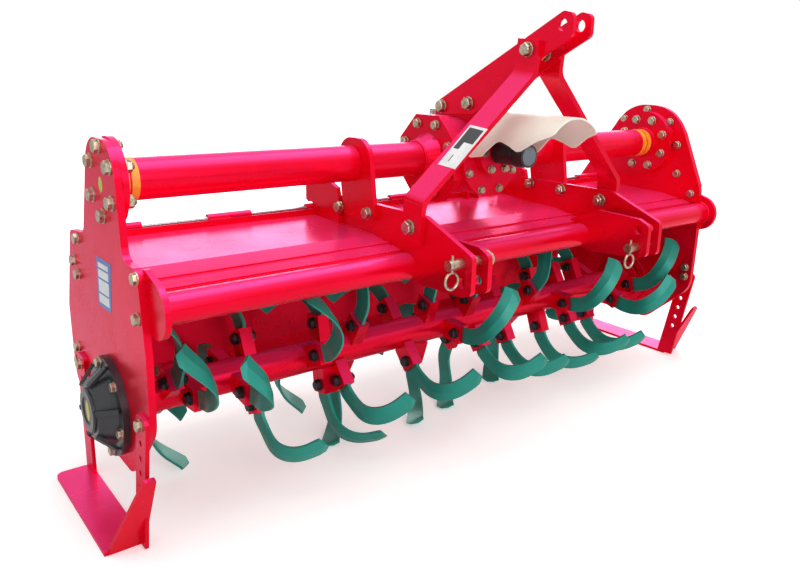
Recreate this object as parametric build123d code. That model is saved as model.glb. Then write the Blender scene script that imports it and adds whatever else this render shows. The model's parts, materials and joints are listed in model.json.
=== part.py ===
from build123d import *
import math
import os

# Rotary tiller for a three-point tractor hitch, in millimetres, standing on its two skids.
# X runs across the machine, -Y points to the tractor, +Z is up. Until the last step Y = 0 is the rotor axis.

# Rotor: a tube with blade sockets, turning on stub shafts in the side plates
blade_radius = 245.0
ground_gap = 5.0
rotor_tube_radius = 38.0
rotor_tube_wall = 8.0
rotor_flange_radius = 62.0
rotor_flange_thickness = 12.0
rotor_end_gap = 15.0
stub_radius = 20.0
stub_plug_depth = 60.0
shaft_running_gap = 0.06
shaft_plate_gap = 22.0

# Blades: forged flat steel, swept back and bent sideways in one long curve
blade_thickness = 8.0
blade_edge_thickness = 3.0
blade_back_bevel = 2.0
blade_side_reach = 82.0
blade_side_trim = 10.0
blade_radial_trim = 1.0
blade_bend_radius = 78.0
blade_bend_angle = 62.0
blade_shank_width = 42.0
blade_width = 50.0
blade_lag = 36.0
blade_tip_turn = 52.0
blade_curve_reach = 84.0
blade_station_count = 8
blade_shank_start = 56.0
blade_end_margin = 73.0
socket_width = 30.0
socket_length = 50.0
socket_top = 98.0
blade_bolt_height = 78.0
blade_bolt_radius = 7.0

# Pairs of opposite blades, from the left end: the pair's place as a share of the bladed stretch of the tube,
# its first blade's angle from the top towards the front, and the side that blade bends to
blade_pairs = [
    (0.000, 53, "left"),
    (0.029, 85, "left"),
    (0.105, 97, "left"),
    (0.134, -25, "left"),
    (0.229, 67, "left"),
    (0.260, -9, "left"),
    (0.279, 140, "right"),
    (0.312, 29, "right"),
    (0.417, 138, "right"),
    (0.467, 18, "right"),
    (0.510, 92, "right"),
    (0.558, 27, "right"),
    (0.581, 142, "right"),
    (0.653, 150, "right"),
    (0.712, 41, "right"),
    (0.757, -21, "left"),
    (0.796, 88, "right"),
    (0.835, 150, "right"),
    (0.892, -28, "left"),
    (0.954, 110, "right"),
    (1.000, 82, "right"),
]

# Side plates and the width they set
frame_half_width = 900.0
side_thickness = 14.0
gear_plate_inset = 72.0
plate_bottom_drop = 115.0

# Main cross tube above the rotor, bolted to the side plates and the gearbox
main_tube_y = -32.0
main_tube_rise = 466.5
main_tube_radius = 41.5
main_tube_wall = 6.0
end_flange_radius = 84.0
end_flange_thickness = 12.0
gear_end_flange_radius = 98.0
gear_end_flange_thickness = 25.0
hub_radius = 62.0
hub_length = 34.0
center_flange_radius = 106.0
center_flange_thickness = 14.0

# Side plate outlines
tongue_radius = 74.0
tongue_height = 80.0
gear_plate_height = 118.0
plate_front_y = -217.0
plate_rear_y = 288.0
shoulder_rise = 328.0

# Gearbox in the middle of the cross tube
gearbox_half_width = 80.0
gearbox_rear_y = 92.0
gearbox_front_y = -138.0
gearbox_radius = 96.0
gearbox_rise = 470.0
front_flange_radius = 92.0
front_flange_thickness = 16.0
input_cap_radius = 60.0
input_cap_length = 24.0
top_lug_half_width = 24.0
top_lug_front_y = -122.0
top_lug_rear_y = 34.0
top_lug_rise = 612.0
filler_radius = 20.0
filler_height = 9.0

# Power take-off input: a 35 mm splined shaft under a black cap
pto_rise = 490.0
pto_shaft_radius = 17.45
pto_shaft_length = 76.0
pto_cap_radius = 27.0
pto_cap_length = 100.0

# Saddle-shaped guard over the input shaft
shield_thickness = 4.0
shield_arch_radius = 98.0
shield_foot_radius = 64.0
shield_front_y = -410.0

# Front tube and the ears that bolt it to the side plates
front_tube_y = -235.0
front_tube_rise = 264.0
front_tube_radius = 30.0
front_tube_wall = 5.0
ear_radius = 53.0
ear_thickness = 12.0
ear_tab_y = -195.0
ear_tab_rise = 36.0
ear_tab_radius = 30.0

# Lower hitch: an outer and an inner plate each side, with a pin across them
outer_hitch_x = 317.0
inner_hitch_x = 272.0
hitch_plate_thickness = 12.0
hitch_pin_y = -411.0
hitch_upper_rise = 308.0
hitch_lower_rise = 266.0
hitch_hole_radius = 11.25
hitch_pin_radius = 11.0
hitch_nose_reach = 29.0
hitch_plate_top = 381.0
hitch_plate_rear_y = 42.0
pin_head_radius = 15.0
pin_head_length = 14.0
pin_washer_radius = 24.0
pin_washer_thickness = 6.0
pin_tail = 38.0
linchpin_inset = 12.0
linchpin_wire = 3.0
linchpin_ring_radius = 17.0

# Upper hitch: two mast plates and two bent braces
mast_half_gap = 24.0
mast_thickness = 10.0
mast_hole_y = -378.0
mast_hole_rise = 780.0
mast_hole_radius = 12.75
mast_eye_margin = 29.0
mast_foot_rise = 571.0
mast_foot_rear_y = 30.0
brace_width = 62.0
brace_thickness = 12.0
brace_y = -276.0
brace_top_rise = 752.0
brace_upper_drop = 76.0
brace_lower_bend = 412.0
brace_bottom_rise = 322.0
brace_bend_radius = 24.0
brace_lean = 5.0

# Saddle brackets and rear stays that tie the tube, the hitch plates and the hood together
bracket_thickness = 12.0
saddle_half_width = 56.0
saddle_bottom_rise = 343.0

# Hood sheet, its rear hinge and the levelling board behind it
hood_thickness = 4.0
hood_front_y = -214.0
hood_front_rise = 291.0
hood_fold_y = -110.0
hood_fold_rise = 311.0
hood_rear_y = 130.0
hood_rear_rise = 318.0
hinge_y = 150.0
hinge_rise = 333.0
hinge_rod_radius = 6.0
hinge_sleeve_radius = 11.0
hinge_fit = 0.08
hinge_count = 7
hinge_sleeve_length = 110.0
hinge_sleeve_gap = 1.0
board_thickness = 4.0
board_side_gap = 6.0
board_points = [(168.0, 310.0), (250.0, 212.0), (294.0, 70.0), (300.0, -58.0), (286.0, -96.0)]

# Adjusting rods that hold the levelling board up
rod_x = 185.0
rod_radius = 7.0
rod_pin_y = 318.0
rod_pin_rise = 182.0
rod_swivel_y = 128.0
rod_swivel_rise = 410.0
rod_free_end = 48.0
rod_eye_radius = 17.0
rod_eye_bore = 10.0
rod_eye_width = 18.0
rod_pin_radius = 6.0
swivel_radius = 13.0
swivel_width = 30.0
swivel_trunnion = 7.0
rod_ear_thickness = 6.0
spring_radius = 14.0
spring_length = 118.0
spring_seat_travel = 46.0
spring_seat_length = 10.0
rod_nut_radius = 13.0
rod_nut_length = 10.0
loose_gap = 0.4

# Skids: a flat foot, a turned-up toe and two bolted straps, set low as for parking
skid_overhang = 78.0
skid_tuck = 2.0
skid_thickness = 8.0
skid_front_y = -134.0
skid_rear_y = 228.0
skid_toe_height = 190.0
skid_toe_reach = 95.0
skid_toe_tip = 24.0
skid_toe_root = 20.0
strap_width = 52.0
strap_thickness = 8.0
strap_top_height = 300.0
rear_strap_height = 296.0
front_strap_low_y = -136.0
front_strap_high_y = -190.0
rear_strap_y = 200.0
strap_hole_radius = 6.5
strap_hole_count = 6
strap_hole_pitch = 34.0

# Left bearing housing and right gear case
housing_radius = 104.0
housing_flange = 14.0
housing_dome_radius = 80.0
housing_dome = 34.0
gear_case_inset = 32.0
gear_case_wall = 8.0
gear_cover_thickness = 8.0
gear_boss_radius = 62.0
gear_boss_depth = 36.0
gear_bearing_radius = 84.0
gear_bearing_thickness = 10.0

rotor_height = blade_radius + ground_gap
gear_plate_inner = frame_half_width - gear_plate_inset
skid_outer_x = frame_half_width + skid_overhang
skid_inner_x = frame_half_width - skid_tuck
main_tube_z = rotor_height + main_tube_rise
front_tube_z = rotor_height + front_tube_rise
plate_inner_left = -(frame_half_width - side_thickness)
gear_plate_outer = gear_plate_inner + side_thickness
rotor_left = plate_inner_left + rotor_end_gap
rotor_right = gear_plate_inner - rotor_end_gap
hinge_z = rotor_height + hinge_rise

pieces = {}


def lift(points):
    """Points given as (y, height above the rotor axis) moved to the floor's height."""
    return [(y, rise + rotor_height) for y, rise in points]


def plane_at(x):
    """The YZ plane at x, with its own x along Y and its own y along Z."""
    return Plane(origin=(x, 0, 0), x_dir=(0, 1, 0), z_dir=(1, 0, 0))


def slab(points, radii, x, thickness):
    """A plate in the YZ plane from x to x + thickness, with its corners rounded."""
    outline = make_face(FilletPolyline(*points, radius=radii, close=True))
    return extrude(plane_at(x) * outline, thickness)


def rod(x_low, x_high, y, z, radius):
    """A round bar along X."""
    length = x_high - x_low
    place = Plane(origin=(x_low, y, z), x_dir=(0, 1, 0), z_dir=(1, 0, 0))
    return place * Cylinder(radius, length, align=(Align.CENTER, Align.CENTER, Align.MIN))


def bar_y(y_low, y_high, x, z, radius):
    """A round bar along Y."""
    place = Plane(origin=(x, y_low, z), x_dir=(1, 0, 0), z_dir=(0, 1, 0))
    return place * Cylinder(radius, y_high - y_low, align=(Align.CENTER, Align.CENTER, Align.MIN))


def block(x_low, x_high, y_low, y_high, z_low, z_high):
    """A box between two corners."""
    size = (x_high - x_low, y_high - y_low, z_high - z_low)
    return Pos(x_low, y_low, z_low) * Box(*size, align=(Align.MIN, Align.MIN, Align.MIN))


def hull_plate(circles, x, thickness):
    """A plate in the YZ plane around two circles, each given as (y, z, radius)."""
    edges = []
    for y, z, radius in circles:
        edges.extend(Circle(radius).moved(Location((y, z, 0))).edges())
    return extrude(plane_at(x) * make_hull(edges), thickness)


def mirror_x(shape):
    return mirror(shape, about=Plane.YZ)


# Side plates
left_outline = lift([
    (main_tube_y - tongue_radius - 2, main_tube_rise + tongue_height),
    (main_tube_y + tongue_radius + 2, main_tube_rise + tongue_height),
    (118, shoulder_rise + 12),
    (222, shoulder_rise),
    (plate_rear_y, 140),
    (plate_rear_y - 6, -20),
    (190, -plate_bottom_drop),
    (-95, -plate_bottom_drop),
    (plate_front_y + 4, 20),
    (plate_front_y, 170),
    (-198, shoulder_rise + 2),
    (-124, shoulder_rise + 6),
])
left_radii = [tongue_radius - 4, tongue_radius - 4, 25, 20, 60, 60, 60, 50, 70, 60, 22, 25]
left_plate = slab(left_outline, left_radii, -frame_half_width, side_thickness)
shaft_hole = stub_radius + shaft_plate_gap
left_plate -= rod(-frame_half_width - 1, plate_inner_left + 1, 0, rotor_height, shaft_hole)

right_outline = lift([
    (-127, main_tube_rise + gear_plate_height),
    (48, main_tube_rise + gear_plate_height),
    (224, shoulder_rise),
    (plate_rear_y, 140),
    (plate_rear_y - 6, -20),
    (190, -plate_bottom_drop),
    (-95, -plate_bottom_drop),
    (plate_front_y - 24, 20),
    (plate_front_y - 26, 190),
    (-236, 340),
])
right_radii = [130, 130, 40, 60, 60, 60, 50, 70, 60, 60]
right_plate = slab(right_outline, right_radii, gear_plate_inner, side_thickness)
front_hole = rod(gear_plate_inner - 1, gear_plate_outer + 1, front_tube_y, front_tube_z, front_tube_radius)
right_plate -= front_hole
right_plate -= rod(gear_plate_inner - 1, gear_plate_outer + 1, 0, rotor_height, shaft_hole)
right_plate += rod(gear_plate_inner - gear_bearing_thickness, gear_plate_inner, 0, rotor_height, gear_bearing_radius)
right_plate -= rod(gear_plate_inner - gear_bearing_thickness - 1, gear_plate_inner + 1, 0, rotor_height, shaft_hole)
pieces["side_plate_left"] = left_plate
pieces["side_plate_right"] = right_plate

# Main cross tube: two halves, each with a flange at its side plate and one at the gearbox
tube_bore = main_tube_radius - main_tube_wall
gear_side = gearbox_half_width + center_flange_thickness


def center_flange(low, high):
    """An eight-sided flange round the cross tube from x = low to high, with a flat on top."""
    outline = RegularPolygon(center_flange_radius, 8, major_radius=False, rotation=22.5)
    place = Plane(origin=(low, main_tube_y, main_tube_z), x_dir=(0, 1, 0), z_dir=(1, 0, 0))
    return extrude(place * outline, high - low)


def half_tube(outer_x, outer_radius, outer_thickness):
    """One half of the cross tube, drawn on the +X side, from the gearbox to outer_x."""
    tube = rod(gear_side, outer_x, main_tube_y, main_tube_z, main_tube_radius)
    tube += rod(outer_x - outer_thickness, outer_x, main_tube_y, main_tube_z, outer_radius)
    tube += center_flange(gear_side, gear_side + center_flange_thickness)
    hub_place = Plane(
        origin=(gear_side + center_flange_thickness, main_tube_y, main_tube_z),
        x_dir=(0, 1, 0),
        z_dir=(1, 0, 0),
    )
    tube += hub_place * Cone(hub_radius, main_tube_radius, hub_length, align=(Align.CENTER, Align.CENTER, Align.MIN))
    return tube - rod(gear_side - 1, outer_x + 1, main_tube_y, main_tube_z, tube_bore)


pieces["main_tube_left"] = mirror_x(half_tube(-plate_inner_left, end_flange_radius, end_flange_thickness))
pieces["main_tube_right"] = half_tube(gear_plate_inner, gear_end_flange_radius, gear_end_flange_thickness)

# Gearbox: a cast body between two eight-sided flanges, with a front flange and two lugs on top
gearbox_z = rotor_height + gearbox_rise
body = hull_plate(
    [
        (gearbox_rear_y - gearbox_radius, gearbox_z, gearbox_radius),
        (gearbox_front_y + gearbox_radius, gearbox_z, gearbox_radius),
    ],
    -gearbox_half_width,
    2 * gearbox_half_width,
)
side_flange = center_flange(gearbox_half_width - 4, gear_side)
body += side_flange
body += mirror_x(side_flange)
body += bar_y(gearbox_front_y - front_flange_thickness, gearbox_front_y + 30, 0, gearbox_z, front_flange_radius)
top_lug = slab(
    lift([
        (top_lug_rear_y, top_lug_rise - 18),
        (top_lug_rear_y, gearbox_rise),
        (top_lug_front_y + 10, gearbox_rise),
        (top_lug_front_y, top_lug_rise - 6),
        (top_lug_front_y + 18, top_lug_rise),
    ]),
    0,
    -top_lug_half_width,
    2 * top_lug_half_width,
)
filler_y = 58.0
body += top_lug
pto_z = rotor_height + pto_rise
cap_face_y = gearbox_front_y - front_flange_thickness
body -= bar_y(cap_face_y - 1, cap_face_y + 40, 0, pto_z, pto_shaft_radius + 6)
pieces["gearbox_housing"] = body

filler_z = gearbox_z + gearbox_radius - 14
filler = Pos(0, filler_y, filler_z) * Cylinder(filler_radius, filler_height + 20, align=(Align.CENTER, Align.CENTER, Align.MIN))
pieces["filler_plug"] = filler - body

input_cap = bar_y(cap_face_y - input_cap_length, cap_face_y, 0, pto_z, input_cap_radius)
input_cap -= bar_y(cap_face_y - input_cap_length - 1, cap_face_y + 1, 0, pto_z, pto_shaft_radius + shaft_running_gap)
pieces["input_bearing_cap"] = input_cap

# Input shaft and its black cap, which turn together
shaft_start_y = cap_face_y + 30
shaft_face_y = cap_face_y - input_cap_length
shaft_end_y = shaft_face_y - pto_shaft_length
cap_end_y = shaft_face_y - pto_cap_length
pieces["pto_shaft"] = bar_y(shaft_end_y, shaft_start_y, 0, pto_z, pto_shaft_radius)
cap = bar_y(cap_end_y, shaft_face_y - loose_gap, 0, pto_z, pto_cap_radius)
cap -= bar_y(shaft_end_y, shaft_face_y, 0, pto_z, pto_shaft_radius)
pieces["pto_cap"] = cap

# Guard over the input shaft: an arched sheet whose sides sweep down and forward, seated on the front flange
guard_z = pto_z
shield_rear_y = cap_face_y
outer_arch = bar_y(shield_front_y, shield_rear_y, 0, guard_z, shield_arch_radius)
inner_arch = bar_y(shield_front_y - 1, shield_rear_y + 1, 0, guard_z, shield_arch_radius - shield_thickness)
guard_side = slab(
    lift([
        (shield_rear_y + 2, pto_rise + 30),
        (shield_rear_y + 2, pto_rise + 110),
        (shield_front_y - 2, pto_rise + 110),
        (shield_front_y - 2, pto_rise + 62),
        (-372, pto_rise + 46),
        (-330, pto_rise + 18),
        (-300, pto_rise + 30),
        (-262, pto_rise + 40),
        (-216, pto_rise - 2),
        (-178, pto_rise - 8),
    ]),
    [0, 0, 0, 20, 30, 20, 30, 30, 16, 12],
    -shield_arch_radius - 1,
    2 * shield_arch_radius + 2,
)
shield = (outer_arch - inner_arch) & guard_side
shield_foot = bar_y(shield_rear_y - shield_thickness, shield_rear_y, 0, pto_z, shield_arch_radius - 1)
shield_foot -= bar_y(shield_rear_y - shield_thickness - 1, shield_rear_y + 1, 0, pto_z, shield_foot_radius)
shield += shield_foot & guard_side
pieces["pto_shield"] = shield

# Front tube, from ear to ear
ear_left_x = plate_inner_left
ear_right_x = gear_plate_outer
front_bar = rod(ear_left_x, ear_right_x + ear_thickness, front_tube_y, front_tube_z, front_tube_radius)


def ear_edges(disc_radius, tab_radius):
    """The two circles that an ear is drawn round."""
    disc = Circle(disc_radius).moved(Location((front_tube_y, front_tube_z, 0)))
    tab = Circle(tab_radius).moved(Location((ear_tab_y, front_tube_z + ear_tab_rise, 0)))
    return disc.edges() + tab.edges()


ear = extrude(plane_at(ear_left_x) * make_face(make_hull(ear_edges(ear_radius, ear_tab_radius))), ear_thickness)
front_bar += ear
front_bar += ear.moved(Location((ear_right_x - ear_left_x, 0, 0)))
front_bore = front_tube_radius - front_tube_wall
front_bar -= rod(ear_left_x + ear_thickness, ear_right_x, front_tube_y, front_tube_z, front_bore)
pieces["front_tube"] = front_bar

# Hood: one folded sheet from the front tube to the hinge, and the hinge sleeves welded to it
hood_line = [
    (hood_front_y, hood_front_rise),
    (hood_fold_y, hood_fold_rise),
    (hood_rear_y, hood_rear_rise),
]
sheet_under = [(y, rise - hood_thickness) for y, rise in reversed(hood_line)]
hood_left = plate_inner_left
hood_width = gear_plate_inner - hood_left
hood = slab(lift(hood_line + sheet_under), 0, hood_left, hood_width)
flange_under = hood_rear_rise - hood_thickness
hood += slab(
    lift([
        (hood_rear_y, flange_under),
        (hood_rear_y, hinge_rise),
        (hood_rear_y + hood_thickness, hinge_rise),
        (hood_rear_y + hood_thickness, flange_under),
    ]),
    0,
    hood_left,
    hood_width,
)
sleeve_bore = hinge_rod_radius + hinge_fit
board_left = hood_left + board_side_gap
board_right = gear_plate_inner - board_side_gap
board_span = board_right - board_left - hinge_sleeve_length
hinge_left_ends = []
for index in range(hinge_count):
    hinge_left_ends.append(board_left + index * board_span / (hinge_count - 1))
for left_end in hinge_left_ends:
    middle = left_end + hinge_sleeve_length / 2
    low = left_end
    high = middle - hinge_sleeve_gap / 2
    hood += rod(low, high, hinge_y, hinge_z, hinge_sleeve_radius)
    hood += block(low, high, hood_rear_y, hinge_y, hinge_z - hinge_sleeve_radius, hinge_z)
hood -= rod(hood_left - 1, gear_plate_inner + 1, hinge_y, hinge_z, sleeve_bore)
hood -= rod(hood_left - 1, gear_plate_inner + 1, front_tube_y, front_tube_z, front_tube_radius)
hood -= ear
pieces["hood"] = hood
pieces["hinge_rod"] = rod(hood_left, gear_plate_inner, hinge_y, hinge_z, hinge_rod_radius)

# Levelling board: a bent sheet with ribs, hung on the hinge rod by its own sleeves
inner_line = [(y - board_thickness, rise) for y, rise in reversed(board_points)]
board = slab(lift(board_points + inner_line), 0, board_left, board_right - board_left)
for left_end in hinge_left_ends:
    low = left_end + hinge_sleeve_length / 2 + hinge_sleeve_gap / 2
    high = left_end + hinge_sleeve_length
    sleeve = rod(low, high, hinge_y, hinge_z, hinge_sleeve_radius)
    arm = slab(
        lift([
            (hinge_y + 2, hinge_rise - 4),
            (hinge_y + 8, hinge_rise + 4),
            (board_points[0][0], board_points[0][1]),
            (board_points[0][0] - board_thickness, board_points[0][1]),
        ]),
        0,
        low,
        high - low,
    )
    board += sleeve
    board += arm
board -= rod(board_left - 1, board_right + 1, hinge_y, hinge_z, sleeve_bore)
rod_pin_z = rotor_height + rod_pin_rise
for side in (-1, 1):
    for ear_side in (-1, 1):
        ear_inner = rod_eye_width / 2 + loose_gap
        ear_low = side * rod_x + min(ear_side * ear_inner, ear_side * (ear_inner + rod_ear_thickness))
        lug = slab(
            lift([
                (256, 198),
                (270, rod_pin_rise + 30),
                (rod_pin_y + 10, rod_pin_rise + 12),
                (rod_pin_y + 10, rod_pin_rise - 12),
                (284, 112),
                (278, 118),
            ]),
            [0, 10, 8, 8, 0, 0],
            ear_low,
            rod_ear_thickness,
        )
        board += lug
    pin_half = rod_eye_width / 2 + loose_gap + rod_ear_thickness + 4
    board += rod(side * rod_x - pin_half, side * rod_x + pin_half, rod_pin_y, rod_pin_z, rod_pin_radius)
pieces["levelling_board"] = board

# Adjusting rods with their springs, each sliding in a swivel block between two ears on the hood
swivel_z = rotor_height + rod_swivel_rise
slope = math.atan2(swivel_z - rod_pin_z, rod_pin_y - rod_swivel_y)
rod_run = math.hypot(rod_pin_y - rod_swivel_y, swivel_z - rod_pin_z)
for name, side in (("left", -1), ("right", 1)):
    x = side * rod_x
    along = Plane(
        origin=(x, rod_pin_y, rod_pin_z),
        x_dir=(1, 0, 0),
        z_dir=(0, -math.cos(slope), math.sin(slope)),
    )
    low_align = (Align.CENTER, Align.CENTER, Align.MIN)
    stem = along * Cylinder(rod_radius, rod_run + rod_free_end, align=low_align)
    eye = rod(x - rod_eye_width / 2, x + rod_eye_width / 2, rod_pin_y, rod_pin_z, rod_eye_radius)
    stem += eye
    spring_end = rod_run - swivel_radius / 2
    spring_start = spring_end - spring_length
    seat_start = spring_start - spring_seat_travel - spring_seat_length
    stem += along * Pos(0, 0, seat_start) * Cylinder(spring_radius, spring_seat_length, align=low_align)
    nut_start = rod_run + swivel_radius + loose_gap
    stem += along * Pos(0, 0, nut_start) * Cylinder(rod_nut_radius, rod_nut_length, align=low_align)
    stem -= rod(x - rod_eye_width, x + rod_eye_width, rod_pin_y, rod_pin_z, rod_eye_bore)
    pieces[f"adjusting_rod_{name}"] = stem
    swivel = rod(x - swivel_width / 2, x + swivel_width / 2, rod_swivel_y, swivel_z, swivel_radius)
    trunnion_half = swivel_width / 2 + loose_gap + rod_ear_thickness
    swivel += rod(x - trunnion_half, x + trunnion_half, rod_swivel_y, swivel_z, swivel_trunnion)
    swivel += along * Pos(0, 0, spring_start) * Cylinder(spring_radius, spring_length, align=low_align)
    swivel -= along * Cylinder(rod_radius + hinge_fit, rod_run + rod_free_end, align=low_align)
    pieces[f"rod_swivel_{name}"] = swivel
under_hood = slab(
    lift(hood_line + [(hood_rear_y, 100), (hood_front_y, 100)]),
    0,
    hood_left,
    hood_width,
)
ears = None
for side in (-1, 1):
    for ear_side in (-1, 1):
        ear_inner = swivel_width / 2 + loose_gap
        ear_low = side * rod_x + min(ear_side * ear_inner, ear_side * (ear_inner + rod_ear_thickness))
        ear_plate = slab(
            lift([
                (rod_swivel_y - 34, hood_rear_rise - 10),
                (rod_swivel_y - 16, rod_swivel_rise + 16),
                (rod_swivel_y + 16, rod_swivel_rise + 16),
                (hood_rear_y, hinge_rise),
                (hood_rear_y, hood_rear_rise - 10),
            ]),
            [0, 14, 14, 0, 0],
            ear_low,
            rod_ear_thickness,
        )
        ear_plate -= rod(ear_low - 1, ear_low + rod_ear_thickness + 1, rod_swivel_y, swivel_z, swivel_trunnion + hinge_fit)
        ear_plate -= under_hood
        ears = ear_plate if ears is None else ears + ear_plate
pieces["rod_ears"] = ears


# Hitch plates, brackets and stays, drawn on the +X side and mirrored
def both_sides(name, shape):
    left = mirror_x(shape)
    pieces[name] = [shape, left]


plate_half = hitch_plate_thickness / 2
nose_y = hitch_pin_y - hitch_nose_reach
outer_plate = slab(
    lift([
        (hitch_plate_rear_y, hitch_plate_top),
        (hitch_plate_rear_y, 290),
        (hood_front_y, 270),
        (-270, 232),
        (-410, 236),
        (nose_y, 246),
        (nose_y, 326),
        (-292, hitch_plate_top + 2),
    ]),
    [12, 0, 0, 20, 20, 14, 14, 10],
    outer_hitch_x - plate_half,
    hitch_plate_thickness,
)
inner_plate = slab(
    lift([
        (-196, 300),
        (-196, 240),
        (-270, 226),
        (-412, 236),
        (nose_y, 246),
        (nose_y, 322),
        (-410, 335),
        (-285, 338),
    ]),
    [14, 14, 20, 20, 14, 14, 14, 16],
    inner_hitch_x - plate_half,
    hitch_plate_thickness,
)
front_tube_all = rod(0, frame_half_width, front_tube_y, front_tube_z, front_tube_radius)
outer_plate -= front_tube_all
outer_plate -= under_hood
inner_plate -= front_tube_all
inner_plate -= under_hood
for rise in (hitch_upper_rise, hitch_lower_rise):
    hole = rod(0, frame_half_width, hitch_pin_y, rotor_height + rise, hitch_hole_radius)
    outer_plate -= hole
    inner_plate -= hole
both_sides("hitch_plates_outer", outer_plate)
both_sides("hitch_plates_inner", inner_plate)

saddle_x = outer_hitch_x + plate_half
saddle = slab(
    lift([
        (main_tube_y - saddle_half_width - 12, main_tube_rise + saddle_half_width + 4),
        (main_tube_y + saddle_half_width + 4, main_tube_rise + saddle_half_width + 4),
        (main_tube_y + saddle_half_width - 26, saddle_bottom_rise),
        (main_tube_y - saddle_half_width - 40, saddle_bottom_rise),
    ]),
    [50, 50, 14, 14],
    saddle_x,
    bracket_thickness,
)
main_tube_all = rod(0, frame_half_width, main_tube_y, main_tube_z, main_tube_radius)
saddle -= main_tube_all
both_sides("saddle_brackets", saddle)

stay = slab(
    lift([
        (30, 400),
        (22, 372),
        (20, 330),
        (20, 300),
        (hood_rear_y, 300),
        (hood_rear_y, hinge_rise),
        (172, 352),
        (172, 392),
        (84, 418),
    ]),
    0,
    saddle_x,
    bracket_thickness,
)
stay -= under_hood
stay -= hood
stay -= saddle
clear_hinge = rod(0, frame_half_width, hinge_y, hinge_z, hinge_sleeve_radius + 6)
stay -= clear_hinge
both_sides("rear_stays", stay)

# Braces from the mast down to the outer hitch plates
brace_top_x = mast_half_gap + mast_thickness
brace_low_x = outer_hitch_x + plate_half
brace_upper_bend = brace_top_rise - brace_upper_drop
brace_line = [
    (brace_top_x, brace_top_rise + rotor_height),
    (brace_top_x, brace_upper_bend + rotor_height),
    (brace_low_x, brace_lower_bend + rotor_height),
    (brace_low_x, brace_bottom_rise + rotor_height),
]


def brace():
    """A flat bar bent twice, drawn in the XZ plane on the +X side."""
    dx = brace_low_x - brace_top_x
    dz = brace_upper_bend - brace_lower_bend
    length = math.hypot(dx, dz)
    turn = math.atan2(dx, dz)
    shift = brace_thickness * math.tan(turn / 2)
    outer_line = [
        (brace_top_x + brace_thickness, brace_line[0][1]),
        (brace_top_x + brace_thickness, brace_line[1][1] + shift),
        (brace_low_x + brace_thickness, brace_line[2][1] + shift),
        (brace_low_x + brace_thickness, brace_line[3][1]),
    ]
    points = brace_line + outer_line[::-1]
    outer_bend = brace_bend_radius + brace_thickness
    radii = [0, brace_bend_radius, outer_bend, 0, 0, brace_bend_radius, outer_bend, 0]
    outline = make_face(FilletPolyline(*points, radius=radii, close=True))
    place = Plane(origin=(0, brace_y + brace_width / 2, 0), x_dir=(1, 0, 0), z_dir=(0, -1, 0))
    bar = extrude(place * outline, brace_width)
    middle = (brace_line[0][1] + brace_line[3][1]) / 2
    lean_axis = Axis((0, brace_y, middle), (1, 0, 0))
    return bar.rotate(lean_axis, brace_lean)


brace_right = brace()
pieces["brace_right"] = brace_right
pieces["brace_left"] = mirror_x(brace_right)

# Mast plates, one each side of the gearbox lug
mast = slab(
    lift([
        (mast_foot_rear_y, mast_foot_rise + 25),
        (mast_foot_rear_y - 26, mast_foot_rise),
        (mast_foot_rear_y - 148, mast_foot_rise + 7),
        (mast_hole_y + 40, mast_hole_rise - 2 * mast_eye_margin),
        (mast_hole_y - mast_eye_margin, mast_hole_rise - 22),
        (mast_hole_y - mast_eye_margin, mast_hole_rise + 22),
        (mast_hole_y - 2, mast_hole_rise + mast_eye_margin),
    ]),
    [12, 10, 20, 60, 14, 14, 18],
    mast_half_gap,
    mast_thickness,
)
mast -= rod(0, frame_half_width, mast_hole_y, rotor_height + mast_hole_rise, mast_hole_radius)
both_sides("mast_plates", mast)


# Hitch pins: the left one sits in the upper holes, the right one in the lower holes
def hitch_pin(head_x, tail_x, rise):
    """A headed pin along X with a washer, from its head to a cross-drilled tail."""
    z = rotor_height + rise
    toward = 1 if tail_x > head_x else -1
    low, high = sorted((head_x, tail_x))
    pin = rod(low, high, hitch_pin_y, z, hitch_pin_radius)
    head_low, head_high = sorted((head_x, head_x + toward * pin_head_length))
    pin += rod(head_low, head_high, hitch_pin_y, z, pin_head_radius)
    washer_start = head_x + toward * pin_head_length
    washer_low, washer_high = sorted((washer_start, washer_start + toward * pin_washer_thickness))
    pin += rod(washer_low, washer_high, hitch_pin_y, z, pin_washer_radius)
    ring_x = tail_x - toward * linchpin_inset
    drill = Plane(origin=(ring_x, hitch_pin_y, z - 20), x_dir=(1, 0, 0), z_dir=(0, 0, 1))
    pin -= drill * Cylinder(linchpin_wire + 0.3, 40, align=(Align.CENTER, Align.CENTER, Align.MIN))
    return pin


def linchpin(x, rise):
    """A straight wire pin through the hitch pin, with a ring round the tail below it."""
    z = rotor_height + rise
    wire = Pos(x, hitch_pin_y, z - 16) * Cylinder(linchpin_wire, 36, align=(Align.CENTER, Align.CENTER, Align.MIN))
    ring_place = Plane(origin=(x, hitch_pin_y, z - 16 - linchpin_ring_radius), x_dir=(1, 0, 0), z_dir=(0, 1, 0))
    return wire + ring_place * Torus(linchpin_ring_radius, linchpin_wire)


head_room = pin_head_length + pin_washer_thickness
inner_face = inner_hitch_x - plate_half
outer_face = outer_hitch_x + plate_half
left_head = -(inner_face - head_room)
left_tail = -(outer_face + pin_tail)
right_head = outer_face + head_room
right_tail = inner_face - pin_tail
pieces["hitch_pin_left"] = hitch_pin(left_head, left_tail, hitch_upper_rise)
pieces["hitch_pin_right"] = hitch_pin(right_head, right_tail, hitch_lower_rise)
pieces["linchpin_left"] = linchpin(left_tail + linchpin_inset, hitch_upper_rise)
pieces["linchpin_right"] = linchpin(right_tail + linchpin_inset, hitch_lower_rise)


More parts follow.
